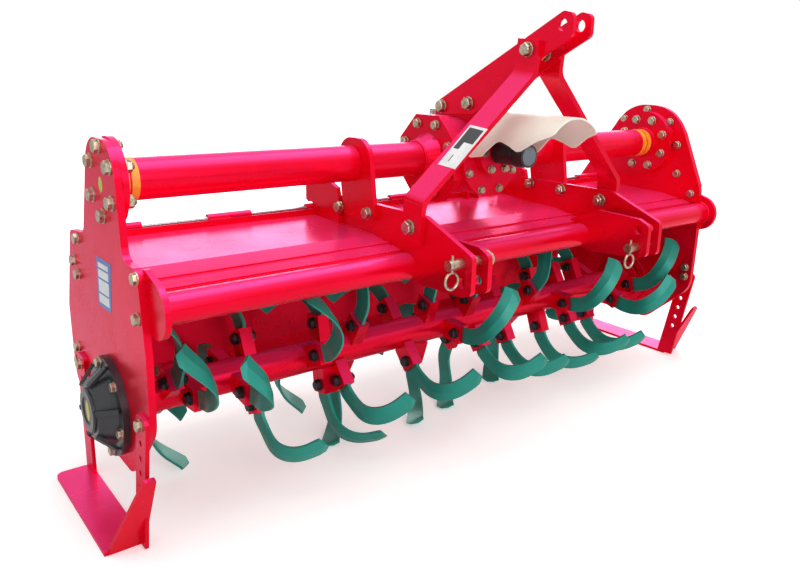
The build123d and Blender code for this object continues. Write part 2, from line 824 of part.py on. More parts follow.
# Skids, drawn on the -X side and mirrored
def skid(plate_face):
    """A skid whose straps lie on the side plate's outer face, at x = -plate_face."""
    foot = block(-skid_outer_x, -skid_inner_x, skid_front_y, skid_rear_y, 0, skid_thickness)
    foot = fillet(foot.edges().filter_by(Axis.Z).group_by(Axis.Y)[-1], 18)
    lean = math.atan2(skid_toe_reach, skid_toe_height)
    toe_length = math.hypot(skid_toe_reach, skid_toe_height)
    toe_face = make_face(
        Polyline(
            (-skid_outer_x, -skid_toe_root),
            (-skid_inner_x, -skid_toe_root),
            (-skid_inner_x, toe_length),
            (-skid_inner_x - skid_toe_tip, toe_length),
            close=True,
        )
    )
    toe_face = fillet(toe_face.vertices().sort_by(Axis.Y)[-2:], 8)
    toe_place = Plane(
        origin=(0, skid_front_y + skid_thickness, 0),
        x_dir=(1, 0, 0),
        z_dir=(0, -math.cos(lean), -math.sin(lean)),
    )
    toe = extrude(toe_place * toe_face, skid_thickness)
    toe_front = skid_front_y - 2 * skid_toe_reach
    above_floor = block(-skid_outer_x, -skid_inner_x, toe_front, 0, 0, strap_top_height)
    foot += toe & above_floor
    strap_x = -(plate_face + strap_thickness)
    strap_foot = skid_thickness / 2
    half = strap_width / 2
    front = slab(
        [
            (front_strap_low_y - half, strap_foot),
            (front_strap_low_y + half, strap_foot),
            (front_strap_high_y + half, strap_top_height),
            (front_strap_high_y - half, strap_top_height),
        ],
        [0, 0, 14, 14],
        strap_x,
        strap_thickness,
    )
    rear = slab(
        [
            (rear_strap_y - half, strap_foot),
            (rear_strap_y + half, strap_foot),
            (rear_strap_y + half, rear_strap_height),
            (rear_strap_y - half, rear_strap_height),
        ],
        [0, 0, 14, 14],
        strap_x,
        strap_thickness,
    )
    for index in range(strap_hole_count):
        down = 24 + index * strap_hole_pitch
        share = (strap_top_height - down) / strap_top_height
        y = front_strap_low_y + (front_strap_high_y - front_strap_low_y) * share
        front -= rod(strap_x - 1, strap_x + strap_thickness + 1, y, strap_top_height - down, strap_hole_radius)
        rear -= rod(strap_x - 1, strap_x + strap_thickness + 1, rear_strap_y, rear_strap_height - down, strap_hole_radius)
    return foot + front + rear


skid_left = skid(frame_half_width)
pieces["skid_left"] = skid_left
pieces["skid_right"] = mirror_x(skid_left)

# Left bearing housing, bolted to the outside of the left side plate
housing = rod(-frame_half_width - housing_flange, -frame_half_width, 0, rotor_height, housing_radius)
dome_place = Plane(
    origin=(-frame_half_width - housing_flange, 0, rotor_height),
    x_dir=(0, 1, 0),
    z_dir=(-1, 0, 0),
)
housing += dome_place * Cone(
    housing_dome_radius, housing_dome_radius - 22, housing_dome, align=(Align.CENTER, Align.CENTER, Align.MIN)
)
stub_left = -frame_half_width - housing_flange - 8
housing -= rod(stub_left, -frame_half_width + 1, 0, rotor_height, stub_radius + shaft_running_gap)
pieces["bearing_housing_left"] = housing

# Right gear case outside the right side plate: a rim and a cover set in from the plate's edge, cut round the ear
case_face = offset(make_face(FilletPolyline(*right_outline, radius=right_radii, close=True)), amount=-gear_case_inset)
ear_room = make_face(make_hull(ear_edges(ear_radius + gear_case_wall, ear_tab_radius + gear_case_wall)))
case_face -= ear_room
case_hollow = offset(case_face, amount=-gear_case_wall)
cover_x = frame_half_width - gear_cover_thickness
case = extrude(plane_at(gear_plate_outer) * (case_face - case_hollow), cover_x - gear_plate_outer)
case += rod(gear_plate_outer, gear_plate_outer + gear_boss_depth, 0, rotor_height, gear_boss_radius)
case += block(
    gear_plate_outer,
    gear_plate_outer + gear_case_wall,
    -gear_case_wall,
    gear_case_wall,
    rotor_height - plate_bottom_drop + gear_case_inset + 1,
    rotor_height - stub_radius - gear_case_wall,
)
stub_right = gear_plate_outer + gear_boss_depth - 6
case -= rod(gear_plate_outer - 1, stub_right, 0, rotor_height, stub_radius + shaft_running_gap)
pieces["side_gear_case"] = case
pieces["side_gear_cover"] = extrude(plane_at(cover_x) * case_face, gear_cover_thickness)

# Rotor: the tube with its end flanges, stub shafts and blade sockets
rotor = rod(rotor_left, rotor_right, 0, rotor_height, rotor_tube_radius)
rotor += rod(rotor_left, rotor_left + rotor_flange_thickness, 0, rotor_height, rotor_flange_radius)
rotor += rod(rotor_right - rotor_flange_thickness, rotor_right, 0, rotor_height, rotor_flange_radius)
rotor -= rod(
    rotor_left + stub_plug_depth,
    rotor_right - stub_plug_depth,
    0,
    rotor_height,
    rotor_tube_radius - rotor_tube_wall,
)
rotor += rod(stub_left + 1, rotor_left, 0, rotor_height, stub_radius)
rotor += rod(rotor_right, stub_right - 1, 0, rotor_height, stub_radius)


def spin(shape, angle):
    return shape.rotate(Axis((0, 0, rotor_height), (1, 0, 0)), angle)


def curve_point(ends, t):
    """A point at share t along a cubic curve given by its four control points, and the direction there."""
    first, second, third, fourth = ends
    rest = 1 - t
    point = first * rest**3 + second * (3 * rest**2 * t) + third * (3 * rest * t**2) + fourth * t**3
    heading = (second - first) * rest**2 + (third - second) * (2 * rest * t) + (fourth - third) * t**2
    return point, heading.normalized()


def blade():
    """One blade at x = 0, its shank pointing up, swept back towards +Y and bent sideways towards -X."""
    lag = math.radians(blade_lag)
    bend = math.radians(blade_bend_angle)
    # Radial and backward directions at the angle where the bend faces the soil.
    radial = Vector(0, math.sin(lag), math.cos(lag))
    backward = Vector(0, math.cos(lag), -math.sin(lag))
    side = Vector(-1, 0, 0)
    axis = Vector(0, 0, rotor_height)
    # The flat blank, as (distance out, distance back): a curve from the socket's mouth to the tip.
    bent_side = blade_bend_radius * (1 - math.cos(bend))
    flat_end = (blade_side_reach - blade_side_trim - bent_side) / math.sin(bend)
    bend_rise = blade_bend_radius * math.sin(bend) + flat_end * math.cos(bend)
    bend_start = blade_radius - blade_radial_trim - bend_rise
    blank_length = bend_start + blade_bend_radius * bend + flat_end
    tip_turn = math.radians(blade_tip_turn)
    root = Vector(socket_top * math.cos(lag), -socket_top * math.sin(lag))
    tip = Vector(blank_length, 0)
    root_hold = root + Vector(math.cos(lag), -math.sin(lag)) * blade_curve_reach
    tip_hold = tip - Vector(math.cos(tip_turn), math.sin(tip_turn)) * blade_curve_reach
    sections = []
    for station in range(blade_station_count):
        share = station / (blade_station_count - 1)
        flat, heading = curve_point((root, root_hold, tip_hold, tip), share)
        turned = min(max((flat.X - bend_start) / blade_bend_radius, 0), bend)
        past = max(flat.X - bend_start - blade_bend_radius * bend, 0)
        before = min(flat.X, bend_start)
        out = before + blade_bend_radius * math.sin(turned) + past * math.cos(turned)
        sideways = blade_bend_radius * (1 - math.cos(turned)) + past * math.sin(turned)
        rising = radial * math.cos(turned) + side * math.sin(turned)
        along = rising * heading.X + backward * heading.Y
        across = rising * heading.Y - backward * heading.X
        place = Plane(
            origin=axis + radial * out + backward * flat.Y + side * sideways,
            x_dir=(across.X, across.Y, across.Z),
            z_dir=(along.X, along.Y, along.Z),
        )
        half_wide = (blade_shank_width + (blade_width - blade_shank_width) * share) / 2
        half_thick = blade_thickness / 2
        ground = min(2 * share, 1)
        cut = half_thick - ground * (blade_thickness - blade_edge_thickness)
        back = half_thick - ground * blade_back_bevel
        ridged = Polyline(
            (-half_wide, -half_thick),
            (half_wide, -half_thick),
            (half_wide, cut),
            (0, half_thick),
            (-half_wide, back),
            close=True,
        )
        sections.append(place * make_face(ridged))
    swept = loft(sections)
    shank = block(
        -blade_thickness / 2,
        blade_thickness / 2,
        -half_shank,
        half_shank,
        rotor_height + blade_shank_start,
        rotor_height + socket_top,
    )
    reach_limit = rod(-blade_side_reach, socket_width, 0, rotor_height, blade_radius)
    return (shank + swept) & reach_limit


half_shank = blade_shank_width / 2
socket = block(
    -socket_width / 2,
    socket_width / 2,
    -socket_length / 2,
    socket_length / 2,
    rotor_height + rotor_tube_radius - rotor_tube_wall / 2,
    rotor_height + socket_top,
)
socket -= block(
    -blade_thickness / 2,
    blade_thickness / 2,
    -half_shank,
    half_shank,
    rotor_height + blade_shank_start,
    rotor_height + socket_top + 1,
)
bolt_hole = rod(-socket_width, socket_width, 0, rotor_height + blade_bolt_height, blade_bolt_radius)
socket -= bolt_hole
blade_left = blade() - bolt_hole
blade_right = mirror_x(blade_left)
first_x = rotor_left + blade_end_margin
bladed_length = rotor_right - rotor_left - 2 * blade_end_margin
blades = {"blades_right_hand": [], "blades_left_hand": []}
bent = {"left": ("blades_left_hand", blade_left), "right": ("blades_right_hand", blade_right)}
sockets = []
for share, first_angle, side in blade_pairs:
    shift = Location((first_x + share * bladed_length, 0, 0))
    other = "right" if side == "left" else "left"
    for way, angle in ((side, first_angle), (other, first_angle + 180)):
        node, shape = bent[way]
        blades[node].append(spin(shape, angle).moved(shift))
        sockets.append(spin(socket, angle).moved(shift))
rotor += sockets
pieces["rotor_tube"] = rotor
pieces.update(blades)

# Move the origin to the floor under the middle of the machine's outline, and write the pieces
flat = {}
for name, shape in pieces.items():
    solids = []
    for part in shape if isinstance(shape, list) else [shape]:
        solids.extend(part.solids())
    flat[name] = Compound(solids)
whole = Compound([solid for shape in flat.values() for solid in shape.solids()]).bounding_box()
shift_x = -(whole.min.X + whole.max.X) / 2
shift_y = -(whole.min.Y + whole.max.Y) / 2
shift_z = -whole.min.Z
print("shift", round(shift_x, 4), round(shift_y, 4), round(shift_z, 4), "size", whole.size)
os.makedirs("parts", exist_ok=True)
for name, shape in flat.items():
    export_step(shape.moved(Location((shift_x, shift_y, shift_z))), f"parts/{name}.step")
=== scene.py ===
import json
import math
import random

import bmesh
import bpy
from mathutils import Matrix, Vector


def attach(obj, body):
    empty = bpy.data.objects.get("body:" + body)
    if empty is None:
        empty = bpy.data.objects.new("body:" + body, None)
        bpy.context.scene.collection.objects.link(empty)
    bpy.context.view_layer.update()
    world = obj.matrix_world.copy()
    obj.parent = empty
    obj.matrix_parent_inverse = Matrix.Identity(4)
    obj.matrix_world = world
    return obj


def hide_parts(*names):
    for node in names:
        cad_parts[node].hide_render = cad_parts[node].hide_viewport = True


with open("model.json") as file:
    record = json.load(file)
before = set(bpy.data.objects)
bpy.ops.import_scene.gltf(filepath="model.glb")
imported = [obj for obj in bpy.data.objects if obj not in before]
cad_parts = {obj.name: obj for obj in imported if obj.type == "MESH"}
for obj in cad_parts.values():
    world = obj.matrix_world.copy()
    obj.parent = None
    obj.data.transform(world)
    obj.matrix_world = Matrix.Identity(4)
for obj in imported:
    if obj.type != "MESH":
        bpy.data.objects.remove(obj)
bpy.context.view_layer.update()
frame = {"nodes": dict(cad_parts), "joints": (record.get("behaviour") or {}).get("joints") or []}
cad = frame["nodes"]
rotor_joint = next(joint for joint in frame["joints"] if joint["name"] == "rotor_spin")
rotor_y, rotor_z = rotor_joint["pos_m"][1], rotor_joint["pos_m"][2]


# Side plates: thick flame-cut steel, sprayed in gloss red over primer after welding.
# The spray leaves a faint orange peel, soft cloudiness in the colour and a duller shine in patches,
# and the colour turns rosy where the paint faces up, a painted highlight of the light from above.


def at(x, y, rise):
    """A point given in millimetres from the rotor axis: across, backwards and up."""
    return Vector((x / 1000, rotor_y + y / 1000, rotor_z + rise / 1000))


def start_material(name):
    material = bpy.data.materials.new(name)
    material.use_nodes = True
    tree = material.node_tree
    shader = tree.nodes["Principled BSDF"]
    place = tree.nodes.new("ShaderNodeTexCoord")
    return material, tree, shader, place.outputs["Object"]


def noise(tree, where, scale, detail=3.0, rough=0.5):
    texture = tree.nodes.new("ShaderNodeTexNoise")
    texture.inputs["Scale"].default_value = scale
    texture.inputs["Detail"].default_value = detail
    texture.inputs["Roughness"].default_value = rough
    tree.links.new(where, texture.inputs["Vector"])
    return texture.outputs["Fac"]


def ramp(tree, value, stops):
    """A colour ramp through (position, colour) stops."""
    node = tree.nodes.new("ShaderNodeValToRGB")
    shades = node.color_ramp
    while len(shades.elements) < len(stops):
        shades.elements.new(0.5)
    for element, (position, colour) in zip(shades.elements, stops):
        element.position = position
        element.color = (*colour, 1.0)
    tree.links.new(value, node.inputs["Fac"])
    return node.outputs["Color"]


def spread(tree, value, low, high):
    """A 0 to 1 value stretched to low..high."""
    node = tree.nodes.new("ShaderNodeMapRange")
    node.inputs["From Min"].default_value = 0.3
    node.inputs["From Max"].default_value = 0.7
    node.inputs["To Min"].default_value = low
    node.inputs["To Max"].default_value = high
    tree.links.new(value, node.inputs["Value"])
    return node.outputs["Result"]


def bumped(tree, shader, height, strength, distance, under=None):
    node = tree.nodes.new("ShaderNodeBump")
    node.inputs["Strength"].default_value = strength
    node.inputs["Distance"].default_value = distance
    tree.links.new(height, node.inputs["Height"])
    if under is not None:
        tree.links.new(under, node.inputs["Normal"])
    tree.links.new(node.outputs["Normal"], shader.inputs["Normal"])
    return node.outputs["Normal"]


def painted_top_light(tree, colour, top_highlight, share):
    """The colour, with a painted highlight tone blended in by up to share where the surface faces up."""
    place = tree.nodes.new("ShaderNodeTexCoord")
    parts = tree.nodes.new("ShaderNodeSeparateXYZ")
    tree.links.new(place.outputs["Normal"], parts.inputs["Vector"])
    # Painted highlight mask: it grows as the surface turns to face up.
    painted_highlight_mask = tree.nodes.new("ShaderNodeMapRange")
    painted_highlight_mask.inputs["From Min"].default_value = 0.35
    painted_highlight_mask.inputs["From Max"].default_value = 1.0
    painted_highlight_mask.inputs["To Max"].default_value = share
    tree.links.new(parts.outputs["Z"], painted_highlight_mask.inputs["Value"])
    blend = tree.nodes.new("ShaderNodeMix")
    blend.data_type = "RGBA"
    blend.inputs["B"].default_value = (*top_highlight, 1.0)
    tree.links.new(painted_highlight_mask.outputs["Result"], blend.inputs["Factor"])
    tree.links.new(colour, blend.inputs["A"])
    return blend.outputs["Result"]


def sprayed(name, deep, bright, top_highlight, highlight_share, shine, flake, glow):
    """Sprayed enamel from a deep to a bright tone, blended towards a paler tone where it faces up, a
    painted highlight.

    Shine is its roughness, flake its share of metal flake, and glow its colour at a low angle.
    """
    material, tree, shader, where = start_material(name)
    clouds = noise(tree, where, 4.0, 4.0)
    colour = painted_top_light(tree, ramp(tree, clouds, [(0.32, deep), (0.68, bright)]), top_highlight, highlight_share)
    tree.links.new(colour, shader.inputs["Base Color"])
    patches = noise(tree, where, 11.0, 5.0, 0.6)
    tree.links.new(spread(tree, patches, shine * 0.8, shine * 1.25), shader.inputs["Roughness"])
    peel = noise(tree, where, 420.0, 1.0)
    swell = noise(tree, where, 14.0, 2.0)
    first = bumped(tree, shader, swell, 0.25, 0.002)
    bumped(tree, shader, peel, 0.06, 0.0006, first)
    shader.inputs["Metallic"].default_value = flake
    shader.inputs["Specular Tint"].default_value = (*glow, 1.0)
    return material


def dress(node, material, bevel=0.0):
    """Gives a CAD node its finish, and rounds its cut edges where bevel says how much."""
    piece = cad[node]
    piece.data.materials.clear()
    piece.data.materials.append(material)
    if bevel:
        soften = piece.modifiers.new("cut edges", "BEVEL")
        soften.width = bevel
        soften.segments = 2
        soften.limit_method = "ANGLE"
        soften.angle_limit = math.radians(50)
        soften.harden_normals = True


magenta_glow = (1.0, 0.15, 0.60)
painted_rose_highlight = (0.92, 0.045, 0.24)
deep_red, bright_red = (0.72, 0.001, 0.012), (0.84, 0.002, 0.024)
# The rose tone blended into upward faces is a painted highlight.
red_paint = sprayed("gloss_red", deep_red, bright_red, painted_rose_highlight, 0.85, 0.24, 0.45, magenta_glow)
plate_edge = 0.0012
for node in ("side_plate_left", "side_plate_right"):
    dress(node, red_paint, plate_edge)


# Fasteners: cold-forged hexagon bolts, nuts and washers in yellow-passivated zinc.
# They hold the side plates to the tube flanges, the ears and the hood's end angles.


def zinc_plate():
    material, tree, shader, where = start_material("yellow_zinc")
    tint = noise(tree, where, 160.0, 2.0)
    stops = [(0.30, (0.26, 0.20, 0.13)), (0.48, (0.46, 0.38, 0.25)), (0.66, (0.46, 0.45, 0.44))]
    tree.links.new(ramp(tree, tint, stops), shader.inputs["Base Color"])
    scuff = noise(tree, where, 700.0, 3.0)
    tree.links.new(spread(tree, scuff, 0.22, 0.42), shader.inputs["Roughness"])
    bumped(tree, shader, scuff, 0.15, 0.0004)
    shader.inputs["Metallic"].default_value = 1.0
    return material


def facing(point, direction, turn=0.0):
    """A placement at point whose own +Z looks along direction."""
    quat = Vector(direction).to_track_quat("Z", "Y")
    return Matrix.Translation(point) @ quat.to_matrix().to_4x4() @ Matrix.Rotation(turn, 4, "Z")


def hoop(mesh, place, wide, tall, height, sides):
    """A loop of points reaching wide and tall from its middle, at a height along the placement's +Z."""
    points = []
    for index in range(sides):
        angle = 2 * math.pi * index / sides
        point = Vector((wide * math.cos(angle), tall * math.sin(angle), height))
        points.append(mesh.verts.new(place @ point))
    return points


def skin(mesh, hoops, capped=True):
    """Faces from each loop of points to the next, and over both ends where it is capped."""
    for low, high in zip(hoops, hoops[1:]):
        for index in range(len(low)):
            after = (index + 1) % len(low)
            mesh.faces.new((low[index], low[after], high[after], high[index]))
    if capped:
        mesh.faces.new(hoops[0][::-1])
        mesh.faces.new(hoops[-1])


def lathe(mesh, place, profile, sides):
    """A turned solid through a profile of (radius, height)."""
    hoops = [hoop(mesh, place, radius, radius, height, sides) for radius, height in profile]
    skin(mesh, hoops)


def washer(mesh, place, radius, thickness):
    edge = thickness * 0.25
    profile = [(radius, 0.0), (radius, thickness - edge), (radius - edge, thickness)]
    lathe(mesh, place, profile, 28)


def hexagon(mesh, place, corner, height):
    """A hexagon head or nut with its corners chamfered on top."""
    lathe(mesh, place, [(corner, 0.0), (corner, height * 0.86), (corner * 0.9, height)], 6)
    crown = place @ Matrix.Translation((0, 0, height * 0.9))
    lathe(mesh, crown, [(corner * 0.86, 0.0), (corner * 0.80, height * 0.16)], 20)


def bolt(mesh, point, direction, size, turn=0.0):
    """A hexagon head on a washer; size is the thread's diameter in metres."""
    place = facing(point, direction, turn)
    washer(mesh, place, size * 1.05, size * 0.2)
    hexagon(mesh, place @ Matrix.Translation((0, 0, size * 0.2)), size * 0.95, size * 0.62)


def nut(mesh, point, direction, size, turn=0.0):
    """A nut on a washer, with the bolt's threaded end standing out of it."""
    place = facing(point, direction, turn)
    washer(mesh, place, size * 1.05, size * 0.2)
    hexagon(mesh, place @ Matrix.Translation((0, 0, size * 0.2)), size * 0.95, size * 0.75)
    end = place @ Matrix.Translation((0, 0, size * 0.9))
    thread = []
    for index in range(6):
        height = index * size * 0.08
        thread.append((size * (0.5 if index % 2 == 0 else 0.44), height))
    lathe(mesh, end, thread, 16)


def finish(name, mesh, material, body, smooth=35.0):
    """Makes the piece, shades it smooth up to an angle and hands it to its body."""
    data = bpy.data.meshes.new(name)
    bmesh.ops.recalc_face_normals(mesh, faces=mesh.faces)
    mesh.to_mesh(data)
    mesh.free()
    data.polygons.foreach_set("use_smooth", [True] * len(data.polygons))
    data.set_sharp_from_angle(angle=math.radians(smooth))
    piece = bpy.data.objects.new(name, data)
    bpy.context.scene.collection.objects.link(piece)
    data.materials.append(material)
    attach(piece, body)
    return piece


zinc = zinc_plate()
turns = random.Random(7)
m10, m11, m12, m13, m14, m16 = 0.010, 0.011, 0.012, 0.013, 0.014, 0.016
left_face, left_inner, right_inner = -900, -886, 828
tube_y, tube_rise = -32, 466.5
left_circle, left_flange = 66, 12
left_edge_bolts = ((167, 318), (205, 263), (179, 237), (236, 52), (239, 19), (-196, 316), (-190, 239))
left_bolts = bmesh.new()
for index in range(6):
    angle = math.radians(30 + 60 * index)
    y, rise = tube_y + left_circle * math.cos(angle), tube_rise + left_circle * math.sin(angle)
    bolt(left_bolts, at(left_face, y, rise), (-1, 0, 0), m14, turns.random())
    nut(left_bolts, at(left_inner + left_flange, y, rise), (1, 0, 0), m14, turns.random())
for y, rise in left_edge_bolts:
    bolt(left_bolts, at(left_face, y, rise), (-1, 0, 0), m12, turns.random())
finish("bolts_left_plate", left_bolts, zinc, "frame")

right_circle, right_flange = 76, 25
right_edge_bolts = (
    (60, 535), (-23, 569), (-108, 535), (-143, 466), (-152, 377),
    (-207, 321), (-219, 86), (-220, 56), (-164, 40),
)
right_bolts = bmesh.new()
for index in range(8):
    angle = math.radians(22.5 + 45 * index)
    y, rise = tube_y + right_circle * math.cos(angle), tube_rise + right_circle * math.sin(angle)
    bolt(right_bolts, at(right_inner - right_flange, y, rise), (-1, 0, 0), m13, turns.random())
for y, rise in right_edge_bolts:
    bolt(right_bolts, at(right_inner, y, rise), (-1, 0, 0), m12, turns.random())
finish("bolts_right_plate", right_bolts, zinc, "frame")


# Stickers: vinyl with a slight gloss, cut to shape and pressed on after painting.
# A blue panel with pale fields and a small yellow-green oval sit on the left side plate.
def vinyl(name, colour):
    material, tree, shader, where = start_material(name)
    wear = noise(tree, where, 45.0, 4.0)
    worn = tuple(channel * 0.88 for channel in colour)
    tree.links.new(ramp(tree, wear, [(0.36, worn), (0.55, colour)]), shader.inputs["Base Color"])
    tree.links.new(spread(tree, wear, 0.28, 0.42), shader.inputs["Roughness"])
    bumped(tree, shader, noise(tree, where, 160.0), 0.08, 0.0003)
    return material


def panel(mesh, corners, outward, thickness):
    """A thin four-cornered plate or sticker standing thickness proud of the surface."""
    lift = Vector(outward).normalized() * thickness
    base = [mesh.verts.new(corner) for corner in corners]
    top = [mesh.verts.new(corner + lift) for corner in corners]
    mesh.faces.new(base[::-1])
    mesh.faces.new(top)
    for index in range(4):
        after = (index + 1) % 4
        mesh.faces.new((base[index], base[after], top[after], top[index]))


def oval(mesh, place, wide, tall, thickness):
    """An oval sticker with a softly rounded edge."""
    sides = 40
    hoops = []
    for share, height in ((1.0, 0.0), (1.0, thickness * 0.6), (0.96, thickness)):
        hoops.append(hoop(mesh, place, wide * share, tall * share, height, sides))
    skin(mesh, hoops)


def within(corners, left, right, low, high):
    """The corners of a smaller panel, by shares of the width and height of a larger one."""
    start, across, up = corners[0], corners[1] - corners[0], corners[3] - corners[0]
    shares = ((left, low), (right, low), (right, high), (left, high))
    return [start + across * share_x + up * share_y for share_x, share_y in shares]


blue_vinyl = vinyl("blue_vinyl", (0.035, 0.14, 0.50))
white_vinyl = vinyl("white_vinyl", (0.78, 0.79, 0.80))
lime_vinyl = vinyl("lime_vinyl", (0.55, 0.60, 0.04))
data_corners = [at(left_face, y, rise) for y, rise in ((46, 204), (-34, 207), (-53, 310), (37, 308))]
data_edge = bmesh.new()
panel(data_edge, data_corners, (-1, 0, 0), 0.0004)
finish("data_panel_edge", data_edge, blue_vinyl, "frame")
data_face = bmesh.new()
for low, high in ((0.08, 0.26), (0.30, 0.56), (0.60, 0.76), (0.80, 0.90)):
    panel(data_face, within(data_corners, 0.10, 0.90, low, high), (-1, 0, 0), 0.0006)
finish("data_panel_fields", data_face, white_vinyl, "frame")
green_oval = bmesh.new()
oval(green_oval, facing(at(left_face, -28, 460), (-1, 0, 0)), 0.011, 0.015, 0.0005)
finish("plate_oval", green_oval, lime_vinyl, "frame")


# Cross tube: two drawn steel tubes with welded hubs and turned flanges, painted with the frame.
# A double band of orange-yellow tape is wrapped round each tube near its outer end.


def ring_bead(mesh, place, radius, size, ripples):
    """A weld bead round a tube: a ring whose thickness ripples as the arc moved along."""
    around, across = ripples * 3, 8
    hoops = []
    for index in range(around):
        angle = 2 * math.pi * index / around
        fat = size * (1.0 + 0.14 * math.cos(index * 2 * math.pi / 3))
        points = []
        for step in range(across):
            tilt = 2 * math.pi * step / across
            reach = radius + fat * math.cos(tilt)
            point = Vector((reach * math.cos(angle), reach * math.sin(angle), fat * math.sin(tilt)))
            points.append(mesh.verts.new(place @ point))
        hoops.append(points)
    skin(mesh, hoops + hoops[:1], capped=False)


def band(mesh, place, inner, outer, width, sides=64):
    """A flat band round a tube, or an open sleeve, from inner to outer radius."""
    corners = [(inner, 0.0), (outer, 0.0), (outer, width), (inner, width)]
    hoops = [hoop(mesh, place, radius, radius, height, sides) for radius, height in corners]
    skin(mesh, hoops + hoops[:1], capped=False)


for node in ("main_tube_left", "main_tube_right"):
    dress(node, red_paint, 0.001)
tube_radius, tape_thickness = 0.0415, 0.0006
tape_mesh = bmesh.new()
for x, width in ((-873, 0.014), (-855, 0.015), (748, 0.018), (771, 0.018)):
    place = facing(at(x, tube_y, tube_rise), (1, 0, 0))
    band(tape_mesh, place, tube_radius - 0.0005, tube_radius + tape_thickness, width)
tape, tape_tree, tape_shader, tape_where = start_material("orange_tape")
tape_tone = noise(tape_tree, tape_where, 60.0)
tape_stops = [(0.35, (0.80, 0.24, 0.01)), (0.65, (0.90, 0.36, 0.02))]
tape_tree.links.new(ramp(tape_tree, tape_tone, tape_stops), tape_shader.inputs["Base Color"])
tape_tree.links.new(spread(tape_tree, tape_tone, 0.3, 0.5), tape_shader.inputs["Roughness"])
bumped(tape_tree, tape_shader, noise(tape_tree, tape_where, 300.0), 0.1, 0.0004)
finish("tape_bands", tape_mesh, tape, "frame")

bead = 0.0035
tube_welds = bmesh.new()
for x, stand in ((-874, 0.002), (-142, 0.001), (142, 0.001), (803, 0.002)):
    ring_bead(tube_welds, facing(at(x, tube_y, tube_rise), (1, 0, 0)), tube_radius + stand, bead, 70)
finish("tube_welds", tube_welds, red_paint, "frame", 60.0)


# Front tube: thinner tube between two flame-cut ears, welded round and bolted to the side plates.
# Its ends are closed by the ears, so only the bead round each joint shows.
dress("front_tube", red_paint, 0.001)
front_y, front_rise, front_radius = -235, 264, 0.030
front_welds = bmesh.new()
for x in (-874, 842):
    ring_bead(front_welds, facing(at(x, front_y, front_rise), (1, 0, 0)), front_radius + 0.0015, bead, 56)
finish("front_tube_welds", front_welds, red_paint, "frame", 60.0)


# Gearbox: a grey-iron sand casting, painted red, with bolted side flanges and a bolted input cap.
# The sand leaves a pebbly skin under the paint, much coarser than on the plates.
def cast_skin():
    material, tree, shader, where = start_material("red_casting")
    clouds = noise(tree, where, 9.0, 4.0)
    stops = [(0.32, (0.66, 0.001, 0.014)), (0.68, (0.80, 0.002, 0.024))]
    # Upward faces are blended towards the rose tone: a painted highlight.
    tree.links.new(painted_top_light(tree, ramp(tree, clouds, stops), painted_rose_highlight, 0.7), shader.inputs["Base Color"])
    grain = noise(tree, where, 260.0, 3.0, 0.6)
    tree.links.new(spread(tree, grain, 0.26, 0.42), shader.inputs["Roughness"])
    bumped(tree, shader, grain, 0.35, 0.0012)
    shader.inputs["Metallic"].default_value = 0.35
    shader.inputs["Specular Tint"].default_value = (*magenta_glow, 1.0)
    return material


red_casting = cast_skin()
dress("gearbox_housing", red_casting, 0.0015)
dress("input_bearing_cap", red_casting, 0.0015)
dress("filler_plug", zinc)
pto_rise, cap_face, shaft_face, gearbox_rise = 490, -154, -178, 470
flange_x, side_circle, cap_circle, front_circle = 108, 90, 47, 80
under_the_guard = (1, 2)
gearbox_bolts = bmesh.new()
for index in range(8):
    angle = math.radians(22.5 + 45 * index)
    y, rise = tube_y + side_circle * math.cos(angle), tube_rise + side_circle * math.sin(angle)
    for side in (-1, 1):
        bolt(gearbox_bolts, at(side * flange_x, y, rise), (side, 0, 0), m12, turns.random())
for index in range(6):
    angle = math.radians(60 * index)
    x, rise = cap_circle * math.cos(angle), pto_rise + cap_circle * math.sin(angle)
    bolt(gearbox_bolts, at(x, shaft_face, rise), (0, -1, 0), m10, turns.random())
for index in range(8):
    angle = math.radians(22.5 + 45 * index)
    x, rise = front_circle * math.cos(angle), gearbox_rise + front_circle * math.sin(angle)
    if index not in under_the_guard:
        bolt(gearbox_bolts, at(x, cap_face, rise), (0, -1, 0), m10, turns.random())
finish("gearbox_bolts", gearbox_bolts, zinc, "frame")


# Input shaft and cap: ground steel stub under a push-on black cap with a paler end face.
# The cap is soft moulded plastic with grip rings near its mouth.
def ground_steel():
    material, tree, shader, where = start_material("ground_steel")
    streak = noise(tree, where, 300.0, 4.0)
    stops = [(0.3, (0.42, 0.42, 0.43)), (0.7, (0.62, 0.62, 0.62))]
    tree.links.new(ramp(tree, streak, stops), shader.inputs["Base Color"])
    tree.links.new(spread(tree, streak, 0.22, 0.38), shader.inputs["Roughness"])
    shader.inputs["Metallic"].default_value = 1.0
    return material


def moulded(name, dark, pale, shine, grain, depth):
    """Moulded plastic: two close tones with a fine pebbled skin."""
    material, tree, shader, where = start_material(name)
    tone = noise(tree, where, 18.0)
    tree.links.new(ramp(tree, tone, [(0.35, dark), (0.65, pale)]), shader.inputs["Base Color"])
    pebbles = noise(tree, where, grain, 2.0)
    tree.links.new(spread(tree, pebbles, shine * 0.85, shine * 1.2), shader.inputs["Roughness"])
    bumped(tree, shader, pebbles, 0.12, depth)
    return material


